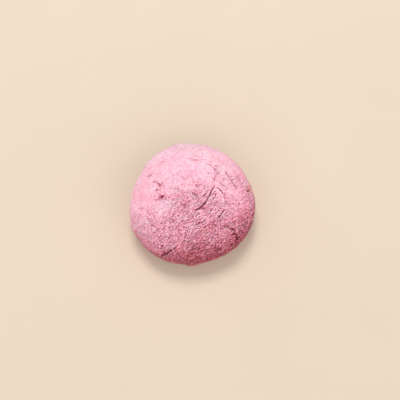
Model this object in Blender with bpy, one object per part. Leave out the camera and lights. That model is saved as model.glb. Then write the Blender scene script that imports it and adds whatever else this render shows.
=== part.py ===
"""Flaky mooncake: one whole, uncut cake of pink flaky pastry, as a single closed solid.

Units are metres and +Z is up. The origin is the middle of the flat base, so the cake
rests on z = 0, and -Y is its front.

The form is a low bun: a section of two superellipse quarters, carried round an outline
with a few soft lobes. The crust's relief is laid on it along the surface normal: broad
swells, cracks, the edges of lifted flakes, folds and pits.

A place on the crust is a pair (x, y) on the crust map, in millimetres: x is to the right
and y is to the back, and its distance from (0, 0) is the way along the crust from the
middle of the top.
"""

import math
from typing import NamedTuple

import bmesh
import bpy
import numpy as np

MM = 0.001

# The bun
RADIUS = 35.0 * MM  # half the width, before the lobes
HEIGHT = 36.0 * MM
WAIST = 15.0 * MM  # height of the widest ring
TOP_POWER = 2.35  # superellipse power of the upper half: 2 is an ellipse
BASE_POWER = 3.0  # and of the lower half, which is squarer
BASE_CUT = 1.18  # depth of the lower half over WAIST: what is past 1 makes the flat base
LOBES = {2: (0.005, 60.0), 3: (0.022, -16.5), 4: (0.003, 26.0), 5: (0.004, -28.0)}
SECTION_STEPS = 2000  # points on each half of the section

# The mesh
CAGE_CUTS = 18  # cuts across each face of the cube that is blown up into the cake
SPLITS = ((2.4, 0.0), (1.5, 0.7), (0.8, 0.95))  # faces this near to cracks this deep are cut in four
EDGE_REACH = 1.6 * MM  # and so are those this near to the edge of the flat base

# Broad unevenness: height, wavelength and number of waves
SWELLS = ((0.15 * MM, 24 * MM, 9), (0.12 * MM, 11 * MM, 16), (0.08 * MM, 5.5 * MM, 30))
SWELL_SEED = 11
BASE_FADE = (0.3 * MM, 5.0 * MM)  # the relief grows from nothing between these heights

LEFT, RIGHT = 1, -1  # the side of a route on which the layer is lifted
LEG_STEPS = 5  # points on each leg of a smoothed route

# Cracks round the side, below the ones that are placed by hand
SIDE_CRACKS = 15
SIDE_SEED = 5
SIDE_WAY = (47.0, 58.0)  # their way along the crust, in mm
SIDE_LENGTH = (4.0, 9.0)


class Crack(NamedTuple):
    """A crack or flake edge along a route on the crust map. Sizes are in millimetres.

    The crack is depth deep and width wide, and runs out at both ends. The layer on the
    lifted side stands lift above the other at the crack and sinks back over slope.
    """

    route: tuple
    depth: float
    width: float
    lift: float = 0.0
    side: int = LEFT
    slope: float = 3.0


class Pit(NamedTuple):
    """A hollow on the crust map (or a low mound, where depth is negative), in millimetres."""

    place: tuple
    length: float
    width: float
    turn: float
    depth: float


CRACKS = (
    # The long curved flake edge right of the middle: its upper end, then its lower arc
    Crack(((9.3, 16.6), (11.6, 15.7), (13.4, 13.8), (14.2, 11.2)), 0.50, 1.3, 0.70, RIGHT),
    Crack(((14.2, 11.2), (13.4, 7.0), (12.2, 3.4), (10.6, 0.0)), 0.40, 1.2, 0.40, LEFT),
    Crack(
        ((12.2, 3.4), (10.6, 0.0), (9.6, -3.2), (7.6, -7.4), (5.4, -9.7), (2.8, -11.0), (0.6, -10.0)),
        0.95, 1.3, 0.55, LEFT, 3.5,
    ),
    Crack(((5.2, -12.0), (8.2, -10.9), (10.6, -9.2), (12.4, -7.8)), 0.22, 1.2, 0.20, RIGHT),
    # Two flake edges that step down to the right of it
    Crack(((13.8, 1.6), (15.0, 0.1), (17.2, -2.4), (17.7, -5.0), (19.9, -7.8)), 0.55, 1.2, 0.60, RIGHT),
    Crack(((17.6, 11.0), (19.3, 9.2), (21.9, 5.6), (23.6, 3.2), (25.6, 1.8)), 0.50, 1.2, 0.60, RIGHT),
    # The gouge at the right-hand edge
    Crack(((30.2, 2.2), (32.4, 2.8), (34.6, 4.2), (36.4, 6.8)), 0.90, 1.8, 0.35, RIGHT),
    # The small flake at the back of the top
    Crack(((-0.6, 20.4), (2.2, 19.5), (4.6, 19.6), (6.4, 21.0)), 0.45, 1.2, 0.55, LEFT),
    # The torn places at the left
    Crack(((-21.6, 7.2), (-19.4, 6.2), (-17.6, 4.6), (-16.4, 3.3), (-14.2, 1.9)), 0.75, 1.6, 0.40, LEFT),
    Crack(((-19.6, 1.4), (-18.4, 0.8), (-17.2, 0.4)), 0.35, 1.1, 0.20, LEFT),
    Crack(((-25.4, 9.9), (-24.0, 10.2), (-22.4, 11.1)), 0.40, 1.2, 0.25, LEFT),
    Crack(
        ((-18.4, -5.0), (-16.4, -3.6), (-14.8, -2.9), (-12.4, -3.9), (-8.4, -4.1), (-4.6, -4.2)),
        0.70, 1.7, 0.40, LEFT, 4.0,
    ),
    # The dent in the middle, and the short cracks round it
    Crack(((-5.2, -9.0), (-3.0, -8.6), (-1.4, -8.0), (0.2, -8.4)), 0.45, 1.3, 0.25, RIGHT),
    Crack(((0.8, -1.0), (1.9, -2.1), (2.6, -3.0), (4.2, -3.4)), 0.45, 1.2, 0.30, RIGHT),
    # Short cracks on the right-hand slope
    Crack(((18.4, -10.8), (17.2, -13.0), (16.3, -15.2), (15.3, -18.4)), 0.50, 1.2, 0.25, LEFT),
    Crack(((8.2, -20.7), (11.0, -20.1), (14.2, -20.0), (15.6, -19.0)), 0.35, 1.2, 0.20, RIGHT),
    Crack(
        ((18.4, -20.6), (20.4, -19.7), (22.4, -20.8), (24.8, -20.5), (26.6, -21.8)),
        0.60, 1.3, 0.50, RIGHT,
    ),
    Crack(((27.4, -20.4), (29.4, -21.3), (31.6, -22.2), (34.0, -22.8)), 0.35, 1.3, 0.25, LEFT),
    Crack(
        ((24.9, -24.2), (26.3, -23.7), (27.4, -25.5), (29.4, -27.0), (31.4, -28.3)),
        1.00, 1.4, 0.45, RIGHT,
    ),
    Crack(((26.4, -30.4), (28.6, -31.8), (30.8, -33.0)), 0.65, 1.6, 0.25, RIGHT),
    Crack(((26.4, -34.8), (28.4, -35.8), (30.2, -36.6)), 0.40, 1.4, 0.20, LEFT),
    Crack(((30.6, -15.2), (32.4, -16.2), (34.4, -17.0)), 0.35, 1.3, 0.20, RIGHT),
    # The flake edges and the fold on the left-hand slope
    Crack(((-30.2, -7.6), (-28.8, -9.0), (-27.4, -10.4)), 0.35, 1.2, 0.25, LEFT),
    Crack(
        ((-25.4, -13.0), (-23.4, -15.4), (-21.4, -16.5), (-20.2, -18.2), (-18.8, -20.5), (-16.8, -22.0)),
        0.55, 1.3, 0.55, RIGHT,
    ),
    Crack(((-21.6, -22.6), (-19.6, -22.3), (-17.6, -22.6)), 0.30, 1.1, 0.20, LEFT),
    Crack(((-33.2, -16.8), (-35.0, -16.4), (-37.0, -16.8)), 0.40, 1.5, 0.30, LEFT),
    Crack(
        ((-26.6, -18.4), (-30.0, -18.6), (-34.0, -20.4), (-38.2, -22.4), (-43.0, -24.2)),
        0.80, 2.2, 0.55, RIGHT, 3.0,
    ),
    # The cracks low on the front
    Crack(((-10.8, -33.8), (-12.8, -34.9), (-14.8, -36.4), (-17.2, -37.8)), 0.95, 1.4, 0.35, LEFT),
    Crack(((-16.2, -36.2), (-17.9, -37.8), (-19.8, -39.4), (-22.0, -41.0)), 0.75, 1.4, 0.45, LEFT),
    Crack(((-6.6, -37.0), (-5.6, -38.5), (-4.0, -39.5)), 0.45, 1.2, 0.20, LEFT),
    Crack(((-9.0, -31.0), (-8.8, -32.4), (-8.0, -33.8)), 0.40, 1.2, 0.20, LEFT),
    # And high on the back
    Crack(((-14.0, 38.0), (-10.0, 39.5), (-6.0, 38.6)), 0.50, 1.4, 0.35, LEFT),
    Crack(((8.0, 34.0), (11.0, 36.0), (15.0, 36.0), (18.0, 34.5)), 0.60, 1.4, 0.40, LEFT),
    Crack(((24.0, 27.0), (26.0, 31.0), (27.0, 35.0)), 0.45, 1.4, 0.30, RIGHT),
    Crack(((-30.0, 22.0), (-33.0, 24.0), (-37.0, 24.5), (-40.0, 27.0)), 0.60, 1.5, 0.40, RIGHT),
)

PITS = (
    Pit((-15.0, -3.1), 2.6, 1.3, 10.0, 0.75),
    Pit((-16.4, 3.5), 1.9, 1.4, -30.0, 0.50),
    Pit((-19.6, 6.4), 2.2, 1.2, -20.0, 0.35),
    Pit((-2.8, -6.9), 4.2, 2.4, 10.0, 0.45),
    Pit((2.3, 19.5), 1.3, 1.0, 0.0, 0.40),
    Pit((4.3, 19.6), 1.2, 0.9, 0.0, 0.30),
    Pit((-10.4, 13.3), 1.0, 1.3, 0.0, 0.40),
    Pit((-8.8, 20.2), 1.6, 1.3, 0.0, 0.30),
    Pit((33.2, 3.2), 2.6, 1.4, 25.0, 0.60),
    Pit((26.4, -23.8), 1.6, 1.2, 10.0, 0.50),
    Pit((30.9, -23.6), 1.5, 1.1, -20.0, 0.45),
    Pit((28.7, -31.8), 3.0, 1.6, -32.0, 0.50),
    Pit((7.4, -23.4), 3.4, 2.6, 0.0, 0.40),
    # Low mounds, where a layer has blistered
    Pit((-11.0, -9.0), 11.0, 7.0, 15.0, -0.60),
    Pit((-24.0, -2.0), 7.0, 9.0, 0.0, -0.45),
    Pit((21.0, 13.0), 10.0, 6.0, -40.0, -0.45),
    Pit((20.0, -13.5), 7.0, 6.0, 30.0, -0.40),
    Pit((-41.0, -17.5), 6.0, 4.5, 20.0, -0.80),
    Pit((3.0, -29.0), 10.0, 6.0, 0.0, -0.40),
)


def superellipse(angle, power):
    """Sine and cosine of angle, each raised so that the quarter circle bulges to power."""
    return np.sin(angle) ** (2.0 / power), np.abs(np.cos(angle)) ** (2.0 / power)


def section():
    """The half section from the middle of the top to the middle of the base.

    Gives its radii, its heights and the way along it. What would lie under z = 0 is flat.
    """
    top_across, top_up = superellipse(np.linspace(0.0, math.pi / 2, SECTION_STEPS), TOP_POWER)
    base_across, base_down = superellipse(np.linspace(math.pi / 2, math.pi, SECTION_STEPS), BASE_POWER)
    top = np.stack([RADIUS * top_across, WAIST + (HEIGHT - WAIST) * top_up])
    base = np.stack([RADIUS * base_across, WAIST * (1.0 - BASE_CUT * base_down)])
    radii, heights = np.concatenate([top, base[:, 1:]], axis=1)
    heights = np.maximum(heights, 0.0)
    steps = np.hypot(np.diff(radii), np.diff(heights))
    return radii, heights, np.concatenate([[0.0], np.cumsum(steps)])


RADII, HEIGHTS, WAYS = section()


def outline(bearing):
    """The outline's radius at a bearing, as a share of RADIUS: 1 and the cosine of each lobe."""
    share = np.ones_like(bearing)
    for lobes, (size, turn) in LOBES.items():
        share += size * np.cos(lobes * (bearing - math.radians(turn)))
    return share


def plain_crust(way, bearing):
    """The points of the bun without its relief, at a way along the crust and a bearing."""
    radius = np.interp(way, WAYS, RADII) * outline(bearing)
    height = np.interp(way, WAYS, HEIGHTS)
    return np.stack([radius * np.cos(bearing), radius * np.sin(bearing), height], axis=-1)


def from_map(places):
    """The points of the plain bun under places on the crust map."""
    x, y = np.asarray(places, dtype=float).T * MM
    return plain_crust(np.hypot(x, y), np.arctan2(y, x))


def smooth_step(value, low, high):
    """0 below low and 1 above high, with a smooth S between."""
    share = np.clip((value - low) / (high - low), 0.0, 1.0)
    return share * share * (3.0 - 2.0 * share)


def smooth_route(places):
    """A Catmull-Rom curve through places on the crust map, with LEG_STEPS points a leg."""
    known = np.asarray(places, dtype=float)
    before = 2.0 * known[0] - known[1]
    after = 2.0 * known[-1] - known[-2]
    known = np.vstack([before, known, after])
    t = np.linspace(0.0, 1.0, LEG_STEPS, endpoint=False)[:, None]
    legs = []
    for p0, p1, p2, p3 in zip(known, known[1:], known[2:], known[3:]):
        bend = 2.0 * p0 - 5.0 * p1 + 4.0 * p2 - p3
        twist = 3.0 * (p1 - p2) + p3 - p0
        legs.append(0.5 * (2.0 * p1 + (p2 - p0) * t + bend * t**2 + twist * t**3))
    return np.vstack(legs + [known[-2:-1]])


def side_cracks():
    """Short cracks spread evenly round the side, with seeded places, lengths and tilts."""
    draw = np.random.RandomState(SIDE_SEED)
    cracks = []
    for number in range(SIDE_CRACKS):
        bearing = math.tau * (number + draw.uniform(-0.3, 0.3)) / SIDE_CRACKS
        way = draw.uniform(*SIDE_WAY)
        half = 0.5 * draw.uniform(*SIDE_LENGTH)
        tilt = math.radians(draw.uniform(-40.0, 40.0))
        bow = draw.uniform(-0.8, 0.8)
        route = []
        for share in (-1.0, -0.4, 0.4, 1.0):
            along = way + share * half * math.sin(tilt) + bow * share * share
            around = bearing + share * half * math.cos(tilt) * MM / RADIUS
            route.append((along * math.cos(around), along * math.sin(around)))
        depth = draw.uniform(0.35, 0.75)
        cracks.append(Crack(tuple(route), depth, 1.4, 0.6 * depth, draw.choice([LEFT, RIGHT])))
    return cracks


def near_route(points, route):
    """Distance of each point from a route, the vector from the route to it, the route's
    direction there, and how far along the route it is, from 0 to 1."""
    line = from_map(smooth_route(route))
    legs = np.diff(line, axis=0)
    lengths = np.linalg.norm(legs, axis=1)
    ways = np.concatenate([[0.0], np.cumsum(lengths)])
    best = np.full(len(points), np.inf)
    offset = np.zeros_like(points)
    heading = np.zeros_like(points)
    along = np.zeros(len(points))
    for start, leg, length, way in zip(line, legs, lengths, ways):
        share = np.clip((points - start) @ leg / length**2, 0.0, 1.0)
        away = points - start - share[:, None] * leg
        distance = np.linalg.norm(away, axis=1)
        closer = distance < best
        best[closer] = distance[closer]
        offset[closer] = away[closer]
        heading[closer] = leg / length
        along[closer] = (way + share[closer] * length) / ways[-1]
    return best, offset, heading, along


def crack_relief(points, normals, crack):
    """Height that a crack gives each point, along its normal.

    The groove is a bell across the route. The lifted layer jumps up at the route and then
    falls off with distance, and both grow from the route's ends with a half sine.
    """
    distance, offset, heading, along = near_route(points, crack.route)
    width = crack.width * MM
    side = np.einsum("ij,ij->i", np.cross(normals, heading), offset) * crack.side
    ends = np.sin(np.pi * along) ** 0.6 * (distance < 8.0 * crack.slope * MM)
    groove = -crack.depth * MM * np.exp(-((distance / (0.5 * width)) ** 2))
    jump = smooth_step(side, -0.3 * width, 0.6 * width)
    layer = crack.lift * MM * jump * np.exp(-distance / (crack.slope * MM))
    return ends * (groove + layer)


def pit_relief(points, normals, pit):
    """Height of a pit: a bell with an oval plan, turned on the crust."""
    centre = from_map([pit.place])[0]
    east = from_map([(pit.place[0] + 0.5, pit.place[1])])[0] - centre
    east /= np.linalg.norm(east)
    away = points - centre
    facing = normals[np.argmin(np.linalg.norm(away, axis=1))]
    north = np.cross(facing, east)
    turn = math.radians(pit.turn)
    along = away @ (east * math.cos(turn) + north * math.sin(turn))
    across = away @ (north * math.cos(turn) - east * math.sin(turn))
    deep = away @ facing
    reach = (along / (0.5 * pit.length)) ** 2 + (across / (0.5 * pit.width)) ** 2
    reach += (deep / (0.5 * max(pit.length, pit.width))) ** 2
    return -pit.depth * MM * np.exp(-reach / MM**2)


def swell(points):
    """Broad unevenness: plane waves of each length, in seeded directions and phases."""
    draw = np.random.RandomState(SWELL_SEED)
    height = np.zeros(len(points))
    for size, wavelength, count in SWELLS:
        directions = draw.normal(size=(count, 3))
        directions /= np.linalg.norm(directions, axis=1)[:, None]
        phases = draw.uniform(0.0, math.tau, count)
        waves = np.sin(points @ directions.T * math.tau / wavelength + phases)
        height += size * waves.sum(axis=1) / math.sqrt(0.5 * count)
    return height


def relief(points, normals, cracks):
    """The whole relief, which fades out above the flat base."""
    height = swell(points)
    for crack in cracks:
        height += crack_relief(points, normals, crack)
    for pit in PITS:
        height += pit_relief(points, normals, pit)
    return height * smooth_step(points[:, 2], *BASE_FADE)


def on_crust(directions):
    """Points of the plain bun for unit directions: the tilt from +Z gives the way."""
    tilt = np.arccos(np.clip(directions[:, 2], -1.0, 1.0))
    bearing = np.arctan2(directions[:, 1], directions[:, 0])
    return plain_crust(tilt / math.pi * WAYS[-1], bearing)


def unit_sphere_cage():
    """A cube whose faces are cut into even grids and blown up to a unit sphere."""
    cage = bmesh.new()
    bmesh.ops.create_cube(cage, size=2.0)
    bmesh.ops.subdivide_edges(cage, edges=cage.edges[:], cuts=CAGE_CUTS, use_grid_fill=True)
    for vert in cage.verts:
        for axis in range(3):
            vert.co[axis] = math.tan(vert.co[axis] * math.pi / 4)
        vert.co.normalize()
    return cage


def near_cracks(points, cracks, reach, least_depth):
    """Which points lie within reach of a crack of at least a given depth, both in mm."""
    near = np.zeros(len(points), dtype=bool)
    for crack in cracks:
        if crack.depth >= least_depth:
            near |= near_route(points, crack.route)[0] < reach * MM
    return near


def near_base_edge(points):
    """Which points lie within EDGE_REACH of the line where the crust leaves the flat base."""
    flat_radius = RADII[HEIGHTS <= 0.0].max()
    bearing = np.arctan2(points[:, 1], points[:, 0])
    radius = np.hypot(points[:, 0], points[:, 1])
    gap = np.abs(radius - flat_radius * outline(bearing))
    return (gap < EDGE_REACH) & (points[:, 2] < 0.5 * WAIST)


def split_where(cage, chosen):
    """Cuts in four each face whose middle, laid on the bun, is one that chosen picks."""
    middles = np.array([face.calc_center_median().normalized() for face in cage.faces])
    picked = chosen(on_crust(middles))
    edges = {edge for face, pick in zip(cage.faces, picked) if pick for edge in face.edges}
    bmesh.ops.subdivide_edges(
        cage, edges=list(edges), cuts=1, use_grid_fill=True, use_single_edge=True
    )
    for vert in cage.verts:
        vert.co.normalize()


def model_cake():
    """The cake's mesh: the cage, refined at the cracks, laid on the bun and raised by the relief."""
    cracks = CRACKS + tuple(side_cracks())
    cage = unit_sphere_cage()
    split_where(cage, near_base_edge)
    for reach, least_depth in SPLITS:
        split_where(cage, lambda points: near_cracks(points, cracks, reach, least_depth))
    points = on_crust(np.array([vert.co[:] for vert in cage.verts]))
    for vert, point in zip(cage.verts, points):
        vert.co = point
    cage.normal_update()
    normals = np.array([vert.normal[:] for vert in cage.verts])
    points += normals * relief(points, normals, cracks)[:, None]
    points[:, 2] = np.maximum(points[:, 2], 0.0)
    middle = 0.5 * (points.min(axis=0) + points.max(axis=0))
    points[:, :2] -= middle[:2]
    for vert, point in zip(cage.verts, points):
        vert.co = point
    bmesh.ops.triangulate(cage, faces=cage.faces[:], quad_method="SHORT_EDGE")
    mesh = bpy.data.meshes.new("mooncake")
    cage.to_mesh(mesh)
    cage.free()
    mesh.shade_smooth()
    return mesh


def crust_material():
    """Dry, powdery pink pastry."""
    material = bpy.data.materials.new("pink_crust")
    material.use_nodes = True
    shader = material.node_tree.nodes["Principled BSDF"]
    shader.inputs["Base Color"].default_value = (0.80, 0.36, 0.45, 1.0)
    shader.inputs["Roughness"].default_value = 0.9
    shader.inputs["Metallic"].default_value = 0.0
    return material


def main():
    for old in list(bpy.data.objects):
        bpy.data.objects.remove(old)
    collection = bpy.data.collections.new("flaky_mooncake")
    bpy.context.scene.collection.children.link(collection)
    cake = bpy.data.objects.new("mooncake", model_cake())
    cake.data.materials.append(crust_material())
    collection.objects.link(cake)
    print("mooncake:", len(cake.data.polygons), "triangles")


main()
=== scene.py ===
"""The looks of a flaky mooncake: one whole, round cake of pink flaky pastry, dry and powdery.

Shapes are worked out in millimetres and become metres when they are put into a mesh. +Z is up
and -Y is the front. A place on the crust is a pair (x, y) on the crust map: x is to the right
and y is to the back, and its distance from (0, 0) is the way along the crust from the crown.
"""

import math
from typing import NamedTuple

import bmesh
import bpy
import numpy as np
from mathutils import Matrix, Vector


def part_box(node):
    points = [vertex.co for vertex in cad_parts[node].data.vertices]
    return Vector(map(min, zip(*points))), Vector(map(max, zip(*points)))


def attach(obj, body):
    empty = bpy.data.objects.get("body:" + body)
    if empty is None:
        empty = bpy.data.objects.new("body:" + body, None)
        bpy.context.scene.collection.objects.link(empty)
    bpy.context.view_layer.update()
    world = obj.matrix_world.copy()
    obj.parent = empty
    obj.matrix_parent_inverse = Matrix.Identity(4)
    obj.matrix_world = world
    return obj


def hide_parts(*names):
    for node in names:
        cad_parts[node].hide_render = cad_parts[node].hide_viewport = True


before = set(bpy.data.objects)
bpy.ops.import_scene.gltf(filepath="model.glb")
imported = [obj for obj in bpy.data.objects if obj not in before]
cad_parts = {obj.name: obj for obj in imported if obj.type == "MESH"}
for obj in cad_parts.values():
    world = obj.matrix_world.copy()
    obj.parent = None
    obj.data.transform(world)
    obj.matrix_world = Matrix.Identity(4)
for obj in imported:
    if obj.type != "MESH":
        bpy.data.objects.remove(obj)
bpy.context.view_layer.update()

MM = 0.001

# The bun, in millimetres: the same form as the solid's
RADIUS = 35.0
HEIGHT = 36.0
WAIST = 15.0  # height of the widest ring
TOP_POWER = 2.35  # superellipse power of the upper half
BASE_POWER = 3.0
BASE_CUT = 1.18  # depth of the lower half over WAIST: what is past 1 makes the flat base
LOBES = {2: (0.005, 60.0), 3: (0.022, -16.5), 4: (0.003, 26.0), 5: (0.004, -28.0)}
SECTION_STEPS = 2000
SWELLS = ((0.15, 24.0, 9), (0.12, 11.0, 16), (0.08, 5.5, 30))  # height, wavelength, number of waves
SWELL_SEED = 11
BASE_FADE = (0.3, 5.0)  # the relief grows from nothing between these heights

# The net that the crust is made on
NET_ACROSS = 152  # faces along each edge of the square over the crown
NET_DOWN = 112  # rows from that square down to the base
NET_BASE = 5  # rows across the flat base
NET_TILTS = (0.0, 45.0, 100.0, 128.0, 135.0, 180.0)  # tilts from +Z, in degrees ...
NET_WAYS = (0.0, 0.24, 0.49, 0.722, 0.76, 1.0)  # ... and the share of the way along the crust there
PULL = (0.5, 0.9)  # how much the net is drawn in towards a crack, and from how far
PULL_REACH = 3.0  # it is worked out to this many times as far

LEFT, RIGHT = 1, -1  # the side of a route on which the layer is lifted
LEG_STEPS = 5  # points a leg of a smoothed route

# The directions that the surface follows
SLANT = math.radians(38.0)  # from +X, the way that the dough was rolled
ALONG = np.array([math.cos(SLANT), math.sin(SLANT), 0.0])
ACROSS = np.array([-math.sin(SLANT), math.cos(SLANT), 0.0])
PAINTED_LIGHT_WAY = np.array([-0.15, 0.40, 0.90])  # painted light: what faces this way, towards the light behind and above, is made paler
LEAN = (0.45, -0.9)  # on the crust map, from the smooth, pale side to the coarse, deep pink one


class Crack(NamedTuple):
    """A crack or flake edge along a route on the crust map, in millimetres.

    The crack is depth deep and width wide. The layer on the lifted side stands lift above
    the other, and sinks back over slope. stain is how much deeper pink its borders are.
    """

    route: tuple
    depth: float
    width: float
    lift: float = 0.0
    side: int = LEFT
    slope: float = 3.0
    stain: float = 0.2


class Oval(NamedTuple):
    """A soft oval on the crust map, in millimetres, with an amount: a depth or a share."""

    place: tuple
    length: float
    width: float
    turn: float
    amount: float


CRACKS = (
    # The long curved flake edge right of the middle: its upper end, its middle and its lower arc
    Crack(((7.4, 16.5), (8.8, 15.9), (11.2, 14.5), (12.8, 13.1), (14.0, 11.4)), 0.80, 0.65, 0.45, RIGHT),
    Crack(((13.8, 10.8), (13.3, 8.0), (12.7, 5.2), (11.9, 3.2)), 0.30, 0.6, 0.20, LEFT),
    Crack(
        (
            (13.6, 3.8), (12.6, 1.8), (11.4, -0.4), (10.4, -2.2), (9.5, -4.2), (8.6, -6.0), (7.7, -7.8),
            (6.7, -9.2), (5.6, -10.3), (4.4, -11.3), (3.0, -12.0), (1.6, -11.8), (0.0, -11.0),
        ),
        1.00, 0.60, 0.50, LEFT, 3.5, 0.3,
    ),
    Crack(((8.3, -7.0), (7.2, -8.6), (6.0, -9.9), (4.8, -11.0), (3.4, -11.7), (2.2, -11.9)), 0.85, 0.80),
    Crack(((5.2, -11.9), (8.0, -10.8), (9.8, -9.8), (11.0, -8.6), (12.2, -8.0)), 0.50, 0.7, 0.20, RIGHT),
    # Two flake edges that step down to the right of it
    Crack(((13.9, 1.2), (15.0, 0.3), (16.0, -0.8), (16.9, -2.2)), 1.05, 0.78, 0.35, RIGHT),
    Crack(
        ((16.7, -1.8), (17.6, -3.2), (18.0, -4.8), (18.3, -6.2), (19.2, -7.6), (20.8, -8.4)),
        0.45, 0.6, 0.40, RIGHT,
    ),
    Crack(((18.8, 12.8), (19.3, 10.8), (20.5, 9.0), (22.0, 7.2), (23.4, 5.4)), 0.85, 0.75, 0.45, RIGHT),
    Crack(((22.6, 6.4), (23.7, 5.0), (24.7, 3.8), (25.8, 2.4)), 1.40, 0.95, 0.45, RIGHT),
    Crack(((26.0, 1.9), (27.6, 0.9), (31.2, 0.0), (36.2, -1.2)), 0.20, 0.7, 0.35, RIGHT),
    # The gouge at the right-hand edge
    Crack(
        ((32.2, 5.6), (32.8, 4.2), (34.3, 3.7), (36.0, 4.2), (37.6, 5.6)),
        1.25, 0.95, 0.30, RIGHT, 3.0, 0.3,
    ),
    # The small flake at the back of the top
    Crack(((-0.8, 19.5), (1.4, 18.7), (3.8, 18.6), (6.4, 20.2)), 0.20, 0.8, 0.35, LEFT, 3.0, 0.1),
    # The torn places at the left
    Crack(
        ((-21.8, 6.9), (-19.8, 6.0), (-18.0, 4.4), (-16.6, 3.0), (-14.8, 1.5)),
        0.10, 1.2, 0.35, LEFT, 3.0, 0.1,
    ),
    Crack(((-26.2, 10.4), (-25.2, 10.7), (-24.2, 11.2), (-23.4, 11.6)), 0.65, 0.75, 0.20, LEFT, 3.0, 0.2),
    Crack(((-19.8, -6.0), (-18.4, -5.0), (-16.6, -4.0), (-14.4, -3.2)), 0.40, 0.7, 0.25, LEFT, 4.0, 0.4),
    Crack(((-14.0, -3.2), (-11.0, -4.0), (-8.0, -4.1), (-4.6, -4.2)), 0.35, 2.6, 0.25, LEFT, 4.0, 0.1),
    # The dent in the middle, and the short cracks round it
    Crack(((-5.6, -9.3), (-4.4, -8.9), (-3.2, -9.0), (-2.0, -8.3)), 0.50, 0.7, 0.20, RIGHT, 3.0, 0.3),
    Crack(((0.3, -1.0), (0.8, -2.0), (1.6, -2.8), (2.6, -3.5), (3.8, -3.8)), 0.60, 0.7, 0.30, RIGHT),
    Crack(((8.3, -1.6), (7.9, -2.8), (7.2, -3.8)), 0.50, 0.6),
    # Short cracks on the right-hand slope
    Crack(((18.2, -10.2), (17.2, -12.0), (16.3, -13.8), (15.2, -16.2)), 0.60, 0.65, 0.25, LEFT),
    Crack(((8.2, -20.7), (11.0, -20.1), (14.2, -20.0), (15.6, -19.0)), 0.40, 0.8, 0.20, RIGHT, 3.0, 0.4),
    Crack(
        ((18.0, -20.8), (20.0, -19.9), (21.6, -20.8), (23.2, -20.9), (24.8, -21.7), (26.4, -22.4)),
        0.70, 0.75, 0.40, RIGHT, 3.0, 0.3,
    ),
    Crack(((22.6, -20.6), (23.8, -20.8), (25.2, -21.3)), 0.90, 0.80),
    Crack(((27.4, -20.4), (29.4, -21.3), (31.6, -22.2), (34.0, -22.8)), 0.40, 0.8, 0.25, LEFT, 3.0, 0.4),
    Crack(
        ((24.4, -24.7), (25.6, -24.0), (26.4, -24.9), (27.4, -26.3), (28.8, -27.5), (30.4, -28.7)),
        1.60, 1.05, 0.35, RIGHT, 3.0, 0.4,
    ),
    Crack(((26.4, -30.4), (28.6, -31.8), (30.8, -33.0)), 0.50, 0.9, 0.25, RIGHT, 3.0, 0.9),
    Crack(((26.4, -34.8), (28.4, -35.8), (30.2, -36.6)), 0.45, 0.9, 0.20, LEFT, 3.0, 0.5),
    Crack(((30.6, -15.2), (32.4, -16.2), (34.4, -17.0)), 0.40, 0.9, 0.20, RIGHT, 3.0, 0.4),
    # The flake edges and the fold on the left-hand slope
    Crack(((-30.2, -7.6), (-28.8, -9.0), (-27.4, -10.4)), 0.40, 0.8, 0.25, LEFT, 3.0, 0.3),
    Crack(
        ((-25.4, -14.4), (-23.6, -15.6), (-22.0, -17.6), (-20.2, -19.2), (-18.6, -21.2), (-17.2, -22.0)),
        0.38, 0.7, 0.55, RIGHT, 3.0, 0.2,
    ),
    Crack(((-21.4, -22.3), (-20.0, -22.7), (-18.4, -22.4)), 0.45, 0.7, 0.20, LEFT),
    Crack(((-33.2, -16.8), (-35.0, -16.3), (-37.0, -16.8)), 0.45, 0.9, 0.30, LEFT, 3.0, 0.3),
    Crack(((-27.0, -18.4), (-30.4, -18.9), (-34.4, -20.6), (-39.0, -22.6)), 0.30, 1.2, 0.35, RIGHT, 3.0, 0.3),
    Crack(
        ((-45.0, -17.0), (-44.0, -20.0), (-43.2, -22.8), (-42.2, -25.4), (-41.0, -28.4)),
        0.60, 0.9, 0.45, LEFT, 3.0, 0.8,
    ),
    # The cracks low on the front
    Crack(((-10.8, -33.8), (-12.8, -34.9), (-15.2, -36.7), (-17.2, -37.8)), 1.25, 0.90, 0.35, LEFT, 3.0, 0.4),
    Crack(((-16.2, -36.2), (-17.8, -37.9), (-19.8, -39.4), (-22.0, -41.0)), 0.95, 0.8, 0.45, LEFT, 3.0, 0.4),
    Crack(((-6.6, -37.6), (-5.6, -39.4), (-4.2, -41.0)), 0.60, 0.8, 0.20, LEFT, 3.0, 0.4),
    Crack(((-9.0, -31.0), (-8.8, -32.4), (-8.0, -33.8)), 0.45, 0.8, 0.20, LEFT, 3.0, 0.4),
    # And high on the back
    Crack(((-14.0, 38.0), (-10.0, 39.5), (-6.0, 38.6)), 0.55, 0.9, 0.35, LEFT, 3.0, 0.4),
    Crack(((8.0, 34.0), (11.0, 36.0), (15.0, 36.0), (18.0, 34.5)), 0.65, 0.9, 0.40, LEFT, 3.0, 0.4),
    Crack(((24.0, 27.0), (26.0, 31.0), (27.0, 35.0)), 0.50, 0.9, 0.30, RIGHT, 3.0, 0.4),
    Crack(((-30.0, 22.0), (-33.0, 24.0), (-37.0, 24.5), (-40.0, 27.0)), 0.65, 0.9, 0.40, RIGHT, 3.0, 0.4),
)

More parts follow.
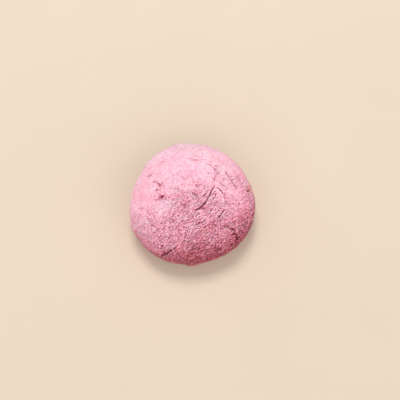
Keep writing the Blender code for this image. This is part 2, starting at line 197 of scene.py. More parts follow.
PITS = (
    # The deep red pit, and the torn places at the left
    Oval((-15.8, -3.6), 3.4, 1.5, 14.0, 1.19),
    Oval((-17.2, -4.7), 1.6, 0.7, 20.0, 0.40),
    Oval((-13.4, -4.9), 1.3, 0.7, -20.0, 0.36),
    Oval((-21.5, 6.3), 2.0, 0.8, 15.0, 0.60),
    Oval((-19.7, 6.5), 1.8, 0.8, -10.0, 0.55),
    Oval((-20.1, 5.3), 1.4, 0.7, -40.0, 0.45),
    Oval((-18.7, 4.6), 1.8, 0.9, -45.0, 0.70),
    Oval((-17.6, 3.4), 2.9, 1.2, 12.0, 0.95),
    Oval((-16.3, 4.5), 1.8, 0.8, 85.0, 0.62),
    Oval((-15.3, 2.8), 2.0, 0.8, 80.0, 0.48),
    Oval((-21.9, 3.4), 1.8, 0.6, 0.0, 0.30),
    Oval((-19.1, 0.6), 2.2, 0.8, 5.0, 0.62),
    Oval((-16.1, -0.3), 1.3, 0.7, 0.0, 0.24),
    Oval((-14.5, 0.8), 1.4, 0.7, 30.0, 0.22),
    # In and round the dent in the middle
    Oval((-2.7, -7.6), 4.4, 2.6, 10.0, 0.30),
    Oval((-2.8, -6.6), 1.1, 0.6, 60.0, 0.26),
    Oval((-0.8, -7.4), 1.3, 0.6, 40.0, 0.26),
    Oval((0.9, 0.1), 3.6, 0.9, 0.0, 0.23),
    Oval((-3.6, -1.8), 1.6, 0.6, 30.0, 0.23),
    Oval((5.0, 3.0), 1.6, 0.6, 20.0, 0.23),
    Oval((7.2, 4.3), 1.4, 0.6, 30.0, 0.23),
    Oval((12.8, 6.5), 2.2, 0.7, 95.0, 0.49),
    Oval((14.4, 5.5), 1.0, 0.7, 0.0, 0.33),
    # On the pale back of the top
    Oval((0.1, 19.0), 1.8, 0.7, -15.0, 0.30),
    Oval((2.2, 18.6), 1.8, 0.8, 5.0, 0.40),
    Oval((3.6, 18.4), 1.2, 0.6, 10.0, 0.30),
    Oval((1.2, 20.6), 1.6, 0.5, 60.0, 0.20),
    Oval((3.2, 21.2), 1.6, 0.5, 60.0, 0.20),
    Oval((-11.4, 13.3), 0.6, 1.1, 0.0, 0.46),
    Oval((-9.8, 20.1), 1.6, 1.2, 0.0, 0.23),
    # At the right-hand edge and low on the front
    Oval((35.2, 4.7), 4.8, 1.6, 30.0, 0.70),
    Oval((30.9, -23.6), 1.5, 1.1, -20.0, 0.30),
    Oval((26.2, -31.1), 3.0, 1.8, -32.0, 1.40),
    Oval((7.4, -23.4), 3.4, 2.6, 0.0, 0.26),
    Oval((-11.1, -24.6), 1.8, 0.6, 10.0, 0.33),
    # Low mounds, where a layer has blistered
    Oval((-11.0, -9.0), 11.0, 7.0, 15.0, -0.60),
    Oval((-24.0, -2.0), 7.0, 9.0, 0.0, -0.45),
    Oval((21.0, 13.0), 10.0, 6.0, -40.0, -0.45),
    Oval((20.0, -13.5), 7.0, 6.0, 30.0, -0.40),
    Oval((-41.0, -17.5), 6.0, 4.5, 20.0, -0.80),
    Oval((3.0, -29.0), 10.0, 6.0, 0.0, -0.40),
    # Small flakes that stand up, pale with flour
    Oval((-22.2, 7.2), 1.2, 0.8, 20.0, -0.30),
    Oval((-16.2, 3.9), 1.2, 0.7, -30.0, -0.30),
    Oval((0.4, -3.2), 1.3, 0.8, -40.0, -0.35),
    Oval((0.8, -6.6), 1.1, 0.8, 0.0, -0.30),
    Oval((-24.6, -16.8), 2.0, 1.0, -30.0, -0.35),
    Oval((-21.8, -21.1), 2.2, 1.0, -20.0, -0.35),
    Oval((19.6, -21.8), 1.6, 1.0, 10.0, -0.35),
    Oval((14.2, 4.0), 1.4, 1.0, 0.0, -0.30),
)

# Cracks round the side, spread by a rule
SIDE_CRACKS = 15
SIDE_SEED = 5
SIDE_STRAY = 0.3  # the most that one strays from its even place, as a share of the gap between two
SIDE_WAY = (47.0, 58.0)
SIDE_LENGTH = (4.0, 9.0)
SIDE_TILT = 40.0  # the most, in degrees
SIDE_BOW = 0.8
SIDE_MARKS = (-1.0, -0.4, 0.4, 1.0)  # where the route's places lie, from end to end
SIDE_DEPTH = (0.35, 0.75)
SIDE_WIDTH = 0.9
SIDE_LIFT = 0.6  # as a share of the depth
SIDE_SLOPE = 3.0
SIDE_STAIN = 0.4

# Short flake edges on the coarse crust, spread by a rule
FLAKE_EDGES = 170
FLAKE_SEED = 8
FLAKE_TRIES = 6  # places tried for each edge
FLAKE_FIELD = 48.0  # how far down from the crown they lie
FLAKE_COARSE = (0.5, 1.1)  # the coarseness at which the first grow, and that at which every try does
FLAKE_LENGTH = (2.0, 5.5)
FLAKE_TURN = 26.0  # standard deviation from the slant, in degrees
FLAKE_BOW = 0.6
FLAKE_MARKS = (-1.0, -0.3, 0.4, 1.0)
FLAKES_LIFTED_LEFT = 0.6  # share of them
FLAKE_DEPTH = (0.2, 0.48)
FLAKE_WIDTH = 0.6
FLAKE_LIFT = (0.15, 0.4)
FLAKE_SLOPE = 1.2
FLAKE_STAIN = 0.1

# The shape of a crack or a pit across its route
CRACK_REACH = 5.0  # how many slopes away the lifted layer is worked out
CRACK_END = 0.14  # share of the route over which each end runs out
STEEP_WALL, EASY_WALL = 0.28, 0.7  # of the groove, in widths of the crack
LAYER_EDGE = (-0.15, 0.4)  # where the lifted layer begins to rise and is full, in widths
LIP_PLACE = 0.8  # in widths
LIP_WIDTH = 0.5  # in millimetres
STAIN_WIDTH = 1.3  # in millimetres
SHALLOW = 0.2  # no painted shade in a gap whose depth is less than this share of its width
PIT_DARK = 1.5  # a pit's painted shade is as dark as a crack's this many times as deep
PIT_DARK_POWER = 1.3  # the painted shade falls off faster than the pit
FAINTEST = 0.001  # what is left of an oval where it is taken as ended
FLAKE_MOUND = 3.0  # a mound shorter than this is a flake that stands up, with a pale lip
MOUND_LIP = 2.0  # the lip, in heights of the mound

# Where the crust is a deeper pink, paler with flour, toasted, or smoother than round it
ROSY = (
    Oval((-9.0, -3.8), 15.0, 4.0, -2.0, 0.30),
    Oval((-2.7, -7.4), 5.6, 3.6, 10.0, 0.50),
    Oval((-18.0, 4.2), 6.5, 3.2, -40.0, 0.35),
    Oval((26.5, 10.5), 7.0, 3.0, -55.0, 0.45),
    Oval((27.5, -26.5), 10.0, 7.0, -40.0, 0.45),
    Oval((5.0, -32.0), 8.0, 10.0, 0.0, 0.40),
    Oval((28.5, -11.0), 7.0, 14.0, -20.0, 0.50),
    Oval((-8.7, -16.7), 3.0, 2.0, 30.0, 0.35),
    Oval((6.3, -24.4), 5.0, 3.0, 40.0, 0.45),
    Oval((-6.0, -37.0), 16.0, 5.0, 0.0, 0.30),
)
FLOURED = (
    # The pale back of the top: flour, and painted light from behind.
    Oval((2.0, 30.0), 44.0, 14.0, 0.0, 0.35),
    Oval((22.0, -8.0), 18.0, 20.0, 0.0, 0.25),
    Oval((20.0, 8.0), 24.0, 34.0, -20.0, 0.28),
    Oval((-12.5, -9.0), 15.0, 7.0, 12.0, 0.35),
    Oval((0.5, -22.7), 9.0, 5.0, 20.0, 0.45),
    Oval((10.5, -28.7), 6.0, 3.0, 10.0, 0.30),
    Oval((11.5, -12.5), 5.0, 4.0, 30.0, 0.40),
    Oval((15.0, -1.0), 6.0, 9.0, 20.0, 0.15),
    Oval((-24.5, -16.8), 3.6, 2.2, -20.0, 0.50),
    Oval((-21.6, -21.2), 3.6, 1.8, -20.0, 0.50),
)
TOASTED = (
    Oval((35.8, 6.2), 5.0, 3.8, 60.0, 0.80),
    Oval((28.2, -31.6), 5.0, 2.6, -30.0, 0.50),
    Oval((7.0, -24.0), 3.5, 2.0, 40.0, 0.40),
    Oval((-43.0, -23.0), 9.0, 3.0, -68.0, 0.45),
    Oval((-19.6, -39.8), 3.0, 1.6, 35.0, 0.40),
)
SMOOTH = (
    Oval((-23.0, -8.0), 20.0, 20.0, 0.0, 0.25),
    Oval((29.0, 15.0), 24.0, 16.0, -50.0, 0.40),
    Oval((23.5, 0.8), 15.0, 11.0, -45.0, 0.50),
    Oval((14.5, 1.0), 7.0, 12.0, 20.0, 0.50),
    Oval((8.0, 12.0), 12.0, 10.0, 0.0, 0.30),
    Oval((3.5, 4.5), 12.0, 10.0, 0.0, 0.30),
    Oval((26.0, -7.0), 14.0, 12.0, 0.0, 0.25),
)

# The noises on the crust: the size of their lumps, their seed, and how many times they are drawn
# out along the slant
LUMPS = {
    "coarse places": (9.0, 21, 1.0),
    "wander right": (1.6, 31, 1.0),
    "wander back": (1.6, 32, 1.0),
    "fine wander right": (0.7, 33, 1.0),
    "fine wander back": (0.7, 34, 1.0),
    "crack strength": (1.8, 35, 1.0),
    "unevenness": (3.4, 41, 1.0),
    "bump places": (1.0, 42, 1.0),
    "fine grain": (0.55, 44, 1.8),
    "streaks": (1.0, 45, 5.0),
    "tears": (1.1, 46, 4.0),
    "torn places": (1.5, 47, 1.0),
    "layer bends": (3.0, 48, 2.0),
    "layer edges": (1.0, 49, 1.0),
    "broken layers": (2.2, 50, 1.5),
    "tone": (6.0, 51, 1.0),
    "coarse tone": (4.5, 52, 1.0),
    "skirt": (5.0, 53, 1.0),
    "ripples": (4.0, 54, 1.0),
}
NOISE_CELLS = 48  # cells along each side of a noise's block, which then repeats

# How coarse the crust is
COARSE_LEAST = 0.34
COARSE_STEPS = ((0.51, -14.0, 8.0), (0.50, 10.0, 38.0))  # what is added, between which leans
COARSE_SIDE = 0.65  # the least down the side ...
COARSE_SIDE_WAYS = (40.0, 50.0)  # ... grown between these ways
COARSE_WANDER = 5.0

# The texture of the crust: heights and depths in millimetres
RAGGED = 0.22  # how far the edges of cracks and patches wander
FINE_RAGGED = 0.5  # share of that which the finer noise adds
CRACK_UNEVEN = 0.35  # how much stronger or weaker a noise makes a crack along its way ...
CRACK_STRENGTH = (0.8, 1.15)  # ... held between these
BUMP_SIZE = 0.9
BUMP_SEED = 43
BUMP_STRETCH = 1.8
BUMP_STRAY = 0.3  # how far a noise moves the bumps
BUMP_HEIGHT = 0.20
BUMP_MIDDLES = (0.1, 0.9)  # where in its cell a bump may have its middle
BUMP_REACH = 0.75  # the square of its radius, in cells
FINE_HEIGHT = 0.24
TEAR_DEPTH = 0.30
TEAR_THIN = 0.13  # the height of its noise at which a tear ends
TORN_PLACES = (0.2, 0.55)  # the heights of the rounder noise at which tears begin and are full
LAYER_HEIGHT = 0.14
LAYER_APART = 1.6
LAYER_BEND = 1.2  # in layers
LAYER_EDGE_BEND = 0.3
LAYER_FALL = (0.76, 1.0)  # the part of a layer's width over which it falls off
LAYERS_WHOLE = (-0.25, 0.35)  # the heights of a noise at which the layers begin and are whole
UNEVEN_HEIGHT = 0.05
STREAK_HEIGHT = 0.05
RIPPLE_HEIGHT = 0.06
RIPPLE_MIDDLE = (0.0, -3.0)
RIPPLE_FIELD = Oval((-7.0, 9.0), 26.0, 18.0, 30.0, 1.0)
RIPPLE_APART = 1.7
RIPPLE_BEND = 2.5

# The tone of the crust, from 0, the deepest pink, to 1, the palest: what each thing adds or takes off
TONE = 0.84
# Paler towards the back: partly flour, partly painted light from behind.
PALER_BACK = 0.18
PALER_BACK_LEANS = (-20.0, -40.0)
# Deeper at the front and low on the side: partly the crust's deeper pink, partly painted shade where the
# light falls off.
DEEPER_FRONT = 0.34
DEEPER_FRONT_LEANS = (-5.0, 55.0)
DEEPER_SIDE = 0.42
DEEPER_SIDE_WAYS = (36.0, 60.0)
DEEPER_SIDE_LEAN = 0.35  # how much of the lean is added to the way
TONE_UNEVEN = 0.08
TONE_COARSE_UNEVEN = 0.05
TONE_STREAKS = 0.05
# Painted light: slopes that face the light are made paler.
PAINTED_LIGHT_PALER = 0.40
PALER_LIPS = 0.25
PALER_FLOUR = 0.30
DEEPER_STAIN = 0.30
DEEPER_ROSY = 0.30
DEEPER_SMOOTH = 0.15
SKIRT_WAYS = (43.0, 53.0)  # where the skirt low on the side, browner and paler with toasting and painted warm bounce light, begins, and where it is full
SKIRT_WANDER = 3.0
# The skirt's paler tone is painted warm bounce light; its brown is toasting and painted bounce light.
PAINTED_BOUNCE_SKIRT = 0.10
TOAST_AND_BOUNCE_SKIRT = 0.36

# The other tints: painted shade in the grain's hollows, and dark red painted shade in the gaps
HOLLOW_LEAST = 0.02
HOLLOW_DEPTH = 1.2  # for each millimetre that the grain lies under its middle height
HOLLOW_SMOOTH = 0.16
TEAR_GAP = 0.55  # how far into the painted dark red shade a tear goes


def superellipse(angle, power):
    """Sine and cosine of angle, each raised so that the quarter circle bulges to power."""
    return np.sin(angle) ** (2.0 / power), np.abs(np.cos(angle)) ** (2.0 / power)


def section():
    """The half section from the crown to the middle of the base: radii, heights and the way along it.

    It is two quarter superellipses, one over and one under the waist. What would lie under z = 0 is flat.
    """
    top_across, top_up = superellipse(np.linspace(0.0, math.pi / 2, SECTION_STEPS), TOP_POWER)
    base_across, base_down = superellipse(np.linspace(math.pi / 2, math.pi, SECTION_STEPS), BASE_POWER)
    top = np.stack([RADIUS * top_across, WAIST + (HEIGHT - WAIST) * top_up])
    base = np.stack([RADIUS * base_across, WAIST * (1.0 - BASE_CUT * base_down)])
    radii, heights = np.concatenate([top, base[:, 1:]], axis=1)
    heights = np.maximum(heights, 0.0)
    steps = np.hypot(np.diff(radii), np.diff(heights))
    return radii, heights, np.concatenate([[0.0], np.cumsum(steps)])


RADII, HEIGHTS, WAYS = section()


def on_bun(places):
    """The points of the plain bun under places on the crust map.

    The distance from (0, 0) gives the radius and height on the section, and the bearing stretches the
    radius by 1 and the cosine of each lobe.
    """
    way = np.hypot(places[:, 0], places[:, 1])
    bearing = np.arctan2(places[:, 1], places[:, 0])
    plain = np.interp(way, WAYS, RADII)
    radius = plain
    for lobes, (size, turn) in LOBES.items():
        radius = radius + plain * size * np.cos(lobes * (bearing - math.radians(turn)))
    height = np.interp(way, WAYS, HEIGHTS)
    return np.stack([radius * np.cos(bearing), radius * np.sin(bearing), height], axis=1)


def bun_normals(places, step=0.2):
    """Outward unit normals of the plain bun: the cross product of its slopes along x and along y."""
    along_x = on_bun(places + (step, 0.0)) - on_bun(places - (step, 0.0))
    along_y = on_bun(places + (0.0, step)) - on_bun(places - (0.0, step))
    normals = np.cross(along_x, along_y)
    flat = places[:, 0] ** 2 + places[:, 1] ** 2 > (WAYS[-1] - 2.0 * step) ** 2
    normals[flat] = (0.0, 0.0, -1.0)
    return normals / np.linalg.norm(normals, axis=1)[:, None]


def smooth_step(value, low, high):
    """0 below low and 1 above high, with a smooth S between."""
    share = np.clip((value - low) / (high - low), 0.0, 1.0)
    return share * share * (3.0 - 2.0 * share)


# Noise


def noise(points, size, seed):
    """Smooth noise of about -1 to 1 whose lumps are size across.

    Each corner of a cubic lattice has a seeded slope. A point takes the height that the slopes of its
    eight corners give it, blended by an S-curve along each axis.
    """
    slopes = np.random.RandomState(seed).normal(size=(NOISE_CELLS, NOISE_CELLS, NOISE_CELLS, 3))
    cell = points / size
    corner = np.floor(cell).astype(int)
    share = cell - corner
    near = share**3 * (share * (share * 6.0 - 15.0) + 10.0)
    total = np.zeros(len(points))
    for step in np.ndindex(2, 2, 2):
        index = (corner + step) % NOISE_CELLS
        weight = np.prod(np.where(step, near, 1.0 - near), axis=1)
        slope = slopes[index[:, 0], index[:, 1], index[:, 2]]
        total += weight * np.einsum("ij,ij->i", slope, share - step)
    return total


def pebbles(points, size, seed):
    """Rounded bumps from 0 to 1, packed side by side, about size across.

    Each cell of a cubic lattice has one seeded point, and a bump falls off with the square of the
    distance from the nearest of them.
    """
    block = (NOISE_CELLS, NOISE_CELLS, NOISE_CELLS, 3)
    middles = np.random.RandomState(seed).uniform(*BUMP_MIDDLES, size=block)
    cell = points / size
    corner = np.floor(cell).astype(int)
    nearest = np.full(len(points), np.inf)
    for step in np.ndindex(3, 3, 3):
        home = corner + step - 1
        index = home % NOISE_CELLS
        away = home + middles[index[:, 0], index[:, 1], index[:, 2]] - cell
        nearest = np.minimum(nearest, np.einsum("ij,ij->i", away, away))
    return np.clip(1.0 - nearest / BUMP_REACH, 0.0, 1.0)


def rolled(points, stretch):
    """Points moved together along the slant, so that a noise on them is drawn out stretch times."""
    return points - (1.0 - 1.0 / stretch) * (points @ ALONG)[:, None] * ALONG


def lumps(points, name):
    """The noise of that name in LUMPS, drawn out along the slant as its row says."""
    size, seed, stretch = LUMPS[name]
    return noise(rolled(points, stretch), size, seed)


def swell(points):
    """Broad unevenness: plane waves of each length, in seeded directions and phases, as on the solid."""
    draw = np.random.RandomState(SWELL_SEED)
    height = np.zeros(len(points))
    for size, wavelength, count in SWELLS:
        directions = draw.normal(size=(count, 3))
        directions /= np.linalg.norm(directions, axis=1)[:, None]
        phases = draw.uniform(0.0, math.tau, count)
        waves = np.sin(points @ directions.T * math.tau / wavelength + phases)
        height += size * waves.sum(axis=1) / math.sqrt(0.5 * count)
    return height


# Cracks, pits and patches on the crust map


def smooth_route(places):
    """A Catmull-Rom curve through places on the crust map, with LEG_STEPS points a leg."""
    known = np.asarray(places, dtype=float)
    before = 2.0 * known[0] - known[1]
    after = 2.0 * known[-1] - known[-2]
    known = np.vstack([before, known, after])
    t = np.linspace(0.0, 1.0, LEG_STEPS, endpoint=False)[:, None]
    legs = []
    for p0, p1, p2, p3 in zip(known, known[1:], known[2:], known[3:]):
        bend = 2.0 * p0 - 5.0 * p1 + 4.0 * p2 - p3
        twist = 3.0 * (p1 - p2) + p3 - p0
        legs.append(0.5 * (2.0 * p1 + (p2 - p0) * t + bend * t**2 + twist * t**3))
    return np.vstack(legs + [known[-2:-1]])


def side_cracks():
    """Short cracks spread evenly round the side, with seeded places, lengths and tilts, as on the solid."""
    draw = np.random.RandomState(SIDE_SEED)
    cracks = []
    for number in range(SIDE_CRACKS):
        bearing = math.tau * (number + draw.uniform(-SIDE_STRAY, SIDE_STRAY)) / SIDE_CRACKS
        way = draw.uniform(*SIDE_WAY)
        half = 0.5 * draw.uniform(*SIDE_LENGTH)
        tilt = math.radians(draw.uniform(-SIDE_TILT, SIDE_TILT))
        bow = draw.uniform(-SIDE_BOW, SIDE_BOW)
        route = []
        for share in SIDE_MARKS:
            along = way + share * half * math.sin(tilt) + bow * share * share
            around = bearing + share * half * math.cos(tilt) / RADIUS
            route.append((along * math.cos(around), along * math.sin(around)))
        depth = draw.uniform(*SIDE_DEPTH)
        side = draw.choice([LEFT, RIGHT])
        crack = Crack(tuple(route), depth, SIDE_WIDTH, SIDE_LIFT * depth, side, SIDE_SLOPE, SIDE_STAIN)
        cracks.append(crack)
    return cracks


def flake_edges():
    """Short, shallow flake edges: seeded, more of them where the crust is coarser, and near the slant.

    An edge's route is a straight line through its middle, bowed by the square of the way along it.
    """
    draw = np.random.RandomState(FLAKE_SEED)
    middles = draw.uniform(-FLAKE_FIELD, FLAKE_FIELD, size=(FLAKE_TRIES * FLAKE_EDGES, 2))
    chance = smooth_step(coarseness(middles, on_bun(middles)), *FLAKE_COARSE)
    chance[np.hypot(middles[:, 0], middles[:, 1]) > FLAKE_FIELD] = 0.0
    middles = middles[draw.uniform(size=len(middles)) < chance][:FLAKE_EDGES]
    edges = []
    for middle in middles:
        turn = SLANT + math.radians(draw.normal(0.0, FLAKE_TURN))
        half = 0.5 * draw.uniform(*FLAKE_LENGTH)
        bow = draw.uniform(-FLAKE_BOW, FLAKE_BOW)
        route = []
        for share in FLAKE_MARKS:
            along = share * half
            aside = bow * (1.0 - share * share)
            x = middle[0] + (along * math.cos(turn) - aside * math.sin(turn))
            y = middle[1] + (along * math.sin(turn) + aside * math.cos(turn))
            route.append((x, y))
        side = LEFT if draw.uniform() < FLAKES_LIFTED_LEFT else RIGHT
        depth = draw.uniform(*FLAKE_DEPTH)
        lift = draw.uniform(*FLAKE_LIFT)
        edges.append(Crack(tuple(route), depth, FLAKE_WIDTH, lift, side, FLAKE_SLOPE, FLAKE_STAIN))
    return edges


def true_offsets(places, offsets):
    """Offsets on the crust map as they are on the crust, where the map is stretched round the bearing.

    The part of an offset that runs round is shortened to the crust's radius over the way along it.
    """
    way = np.maximum(np.hypot(places[:, 0], places[:, 1]), 1e-6)
    outward = places / way[:, None]
    squeeze = np.minimum(np.interp(way, WAYS, RADII) / way, 1.0)
    out = np.einsum("ij,ij->i", offsets, outward)[:, None] * outward
    return out + (offsets - out) * squeeze[:, None]


class Nearby(NamedTuple):
    """The places near a route: their numbers, their offsets from it, their distances to its left
    (below 0 to its right), and how far along it they are, from 0 to 1."""

    numbers: np.ndarray
    offsets: np.ndarray
    left: np.ndarray
    along: np.ndarray


def near_route(places, route, reach):
    """The places within reach of a route's box: each is measured from the nearest point of the
    smoothed route, the nearest of its legs' own nearest points."""
    line = smooth_route(route)
    inside = (places > line.min(axis=0) - reach) & (places < line.max(axis=0) + reach)
    numbers = np.flatnonzero(inside.all(axis=1))
    spots = places[numbers]
    legs = np.diff(line, axis=0)
    lengths = np.linalg.norm(legs, axis=1)
    ways = np.concatenate([[0.0], np.cumsum(lengths)])
    best = np.full(len(spots), np.inf)
    offsets = np.zeros_like(spots)
    heading = np.zeros_like(spots)
    along = np.zeros(len(spots))
    for start, leg, length, way in zip(line, legs, lengths, ways):
        share = np.clip((spots - start) @ leg / length**2, 0.0, 1.0)
        away = spots - start - share[:, None] * leg
        distance = np.hypot(away[:, 0], away[:, 1])
        closer = distance < best
        best[closer] = distance[closer]
        offsets[closer] = away[closer]
        heading[closer] = leg / length
        along[closer] = (way + share[closer] * length) / ways[-1]
    true = true_offsets(spots, offsets)
    turned = heading[:, 0] * true[:, 1] - heading[:, 1] * true[:, 0]
    left = np.where(turned < 0.0, -1.0, 1.0) * np.hypot(true[:, 0], true[:, 1])
    return Nearby(numbers, offsets, left, along)


def oval(places, spot):
    """1 in the middle of an oval spot, falling off as a bell with the distance in its own radii."""
    turn = math.radians(spot.turn)
    offsets = true_offsets(places, places - spot.place)
    along = offsets @ (math.cos(turn), math.sin(turn))
    across = offsets @ (-math.sin(turn), math.cos(turn))
    return np.exp(-((along / (0.5 * spot.length)) ** 2) - (across / (0.5 * spot.width)) ** 2)


def patches(places, spots):
    """How much of a tint the soft ovals of spots give each place: one minus what each leaves of it."""
    left = np.ones(len(places))
    for spot in spots:
        left *= 1.0 - spot.amount * oval(places, spot)
    return 1.0 - left


# The crust


def net():
    """The crust's net: its places on the crust map and its faces.

    A square net over the crown, evened out by a tangent, goes on down as a belt of rows from the
    square's own rim, as on a cube blown up into a ball, and the base closes it with rings and a point.
    A point's tilt from +Z gives its way along the crust.
    """
    lines = np.tan(np.linspace(-1.0, 1.0, NET_ACROSS + 1) * math.pi / 4)
    x, y = np.meshgrid(lines, lines, indexing="ij")
    number = np.arange(x.size).reshape(x.shape)
    rim = np.concatenate([number[-1, :-1], number[:0:-1, -1], number[0, :0:-1], number[:-1, 0]])
    rim_x, rim_y = x.ravel()[rim], y.ravel()[rim]
    down = np.tan(np.linspace(1.0, -1.0, NET_DOWN + 1)[1:] * math.pi / 4)[:, None]
    belt_tilt = np.arctan2(np.hypot(rim_x, rim_y), down)
    base_share = np.linspace(0.0, 1.0, NET_BASE + 1)[1:-1, None]
    base_tilt = belt_tilt[-1] + (math.pi - belt_tilt[-1]) * base_share
    belt_tilt = np.concatenate([belt_tilt, base_tilt])
    belt_bearing = np.broadcast_to(np.arctan2(rim_y, rim_x), belt_tilt.shape)
    tilt = np.concatenate([np.arctan2(np.hypot(x, y), 1.0).ravel(), belt_tilt.ravel(), [math.pi]])
    bearing = np.concatenate([np.arctan2(y, x).ravel(), belt_bearing.ravel(), [0.0]])
    way = np.interp(np.degrees(tilt), NET_TILTS, np.array(NET_WAYS) * WAYS[-1])
    places = way[:, None] * np.stack([np.cos(bearing), np.sin(bearing)], axis=1)

    rows = np.vstack([rim, number.size + np.arange(belt_tilt.size).reshape(belt_tilt.shape)])
    right = np.roll(rows, -1, axis=1)
    crown = np.stack([number[:-1, :-1], number[1:, :-1], number[1:, 1:], number[:-1, 1:]], axis=-1)
    belt = np.stack([rows[:-1], rows[1:], right[1:], right[:-1]], axis=-1)
    fan = np.stack([rows[-1], np.full(len(rim), len(places) - 1), right[-1]], axis=-1)
    return places, np.vstack([crown.reshape(-1, 4), belt.reshape(-1, 4)]), fan


def drawn_in(places, cracks):
    """Slides the net's places towards the cracks, so that its lines lie closer together there.

    A place moves to the crack by a share of its distance that falls off as a bell.
    """
    pull, reach = PULL
    moved = places.copy()
    for crack in cracks:
        near = near_route(places, crack.route, PULL_REACH * reach)
        share = pull * np.exp(-((near.left / reach) ** 2)) * np.sin(np.pi * near.along)
        moved[near.numbers] -= share[:, None] * near.offsets
    return moved


def coarseness(places, points):
    """How coarse the crust is, from 0 to 1.35: fine at the back left, coarsest at the front, and
    between the two on the hidden side."""
    lean = places @ LEAN + COARSE_WANDER * lumps(points, "coarse places")
    coarse = np.full(len(places), COARSE_LEAST)
    for share, low, high in COARSE_STEPS:
        coarse = coarse + share * smooth_step(lean, low, high)
    side = COARSE_SIDE * smooth_step(np.hypot(places[:, 0], places[:, 1]), *COARSE_SIDE_WAYS)
    return np.maximum(coarse, side) * (1.0 - patches(places, SMOOTH))


def grain(points):
    """The height of the crumbly grain and its tears, each tear from 0 to 1.

    The grain is bumps and a finer noise drawn out along the slant. A tear is where a drawn-out noise
    passes through nothing while a rounder one is high.
    """
    strayed = points + BUMP_STRAY * lumps(points, "bump places")[:, None]
    bumps = pebbles(rolled(strayed, BUMP_STRETCH), BUMP_SIZE, BUMP_SEED) - 0.5
    fine = lumps(points, "fine grain")
    thin = smooth_step(np.abs(lumps(points, "tears")), TEAR_THIN, 0.0)
    tears = thin * smooth_step(lumps(points, "torn places"), *TORN_PLACES)
    return BUMP_HEIGHT * bumps + FINE_HEIGHT * fine - TEAR_DEPTH * tears, tears


def tiled_layers(points):
    """Thin layers that overlap like tiles, from 0 to 1.

    Across the slant the height climbs slowly towards the front and falls off at each layer's edge. A
    noise bends the edges, and another breaks them off.
    """
    turns = -(points @ ACROSS) / LAYER_APART + LAYER_BEND * lumps(points, "layer bends")
    turns = turns + LAYER_EDGE_BEND * lumps(points, "layer edges")
    share = turns - np.floor(turns)
    whole = smooth_step(lumps(points, "broken layers"), *LAYERS_WHOLE)
    return share * (1.0 - smooth_step(share, *LAYER_FALL)) * whole


def ripples(places, points):
    """Faint rings in the pale, smooth crust, from -1 to 1: the sine of the distance from a place near
    the middle, bent by a noise."""
    away = np.hypot(*(places - RIPPLE_MIDDLE).T)
    bend = RIPPLE_BEND * lumps(points, "ripples")
    return oval(places, RIPPLE_FIELD) * np.sin(math.tau * away / RIPPLE_APART + bend)


def raise_to(values, numbers, floor):
    """Raises the numbered values to floor where they are under it."""
    values[numbers] = np.maximum(values[numbers], floor)


class Relief:
    """What the cracks and pits do to each place: its height, and how much of it is in a gap, which is
    painted dark as shade, in a border of deeper pink, or on a lip that stands up.

    roughened is how strong the cracks are at each place.
    """

    def __init__(self, places, roughened):
        self.places = places
        self.roughened = roughened
        self.height, self.gap, self.stain, self.lip = np.zeros((4, len(places)))

    def lay_crack(self, crack):
        """A groove steeper on its lifted side, beside a layer that sinks back over the crack's slope.

        Across it the groove is a bell, and the layer an S-curve that dies off with the distance.
        """
        near = near_route(self.places, crack.route, CRACK_REACH * crack.slope)
        side = near.left * crack.side
        ends = smooth_step(0.5 - np.abs(near.along - 0.5), 0.0, CRACK_END)
        ends = ends * self.roughened[near.numbers]
        wall = np.where(side > 0.0, STEEP_WALL, EASY_WALL) * crack.width
        groove = np.exp(-((side / wall) ** 2))
        layer = smooth_step(side, LAYER_EDGE[0] * crack.width, LAYER_EDGE[1] * crack.width)
        layer *= np.exp(-np.abs(side) / crack.slope)
        # Painted shade: the gap tint darkens the groove, the more the deeper the crack is for its width.
        dark = min(max(crack.depth / crack.width - SHALLOW, 0.0), 1.0)
        self.height[near.numbers] += ends * (crack.lift * layer - crack.depth * groove)
        raise_to(self.gap, near.numbers, dark * ends * groove)
        border = np.exp(-((side / STAIN_WIDTH) ** 2))
        raise_to(self.stain, near.numbers, crack.stain * ends * border)
        edge = np.exp(-(((side - LIP_PLACE * crack.width) / LIP_WIDTH) ** 2))
        raise_to(self.lip, near.numbers, crack.lift * ends * edge)

    def lay_pit(self, pit):
        """A bell-shaped hollow, or a mound where its amount is below 0."""
        share = oval(self.places, pit)
        numbers = np.flatnonzero(share > FAINTEST)
        share = share[numbers]
        self.height[numbers] -= pit.amount * share
        if pit.amount > 0.0:
            # Painted shade in the pit, the darker the deeper it is for its width.
            dark = min(max(PIT_DARK * pit.amount / pit.width - SHALLOW, 0.0), 1.0)
            raise_to(self.stain, numbers, pit.amount * share)
            raise_to(self.gap, numbers, dark * share**PIT_DARK_POWER)
        elif pit.length < FLAKE_MOUND:
            raise_to(self.lip, numbers, -MOUND_LIP * pit.amount * share)


def face_areas(points, quads):
    """The area of each face as a vector along its outward normal: half the cross product of its diagonals."""
    diagonals = points[quads[:, 2]] - points[quads[:, 0]], points[quads[:, 3]] - points[quads[:, 1]]
    return 0.5 * np.cross(*diagonals)


def point_sums(values, quads, count):
    """The sum at each point of the values of the faces that it is a corner of."""
    return np.bincount(quads.ravel(), np.repeat(values, 4), minlength=count)


def point_normals(points, quads):
    """Outward unit normals of the raised crust: the sum of the area vectors round each point."""
    areas = face_areas(points, quads)
    normals = np.stack([point_sums(areas[:, axis], quads, len(points)) for axis in range(3)], axis=1)
    return normals / np.maximum(np.linalg.norm(normals, axis=1), 1e-9)[:, None]


class Crust(NamedTuple):
    """The crust's points in millimetres, the plain bun's normals there, and their tints by name.

    A tint goes from 0 to 1, and coarse, which is the coarseness, a little past it.
    """

    points: np.ndarray
    normals: np.ndarray
    tints: dict


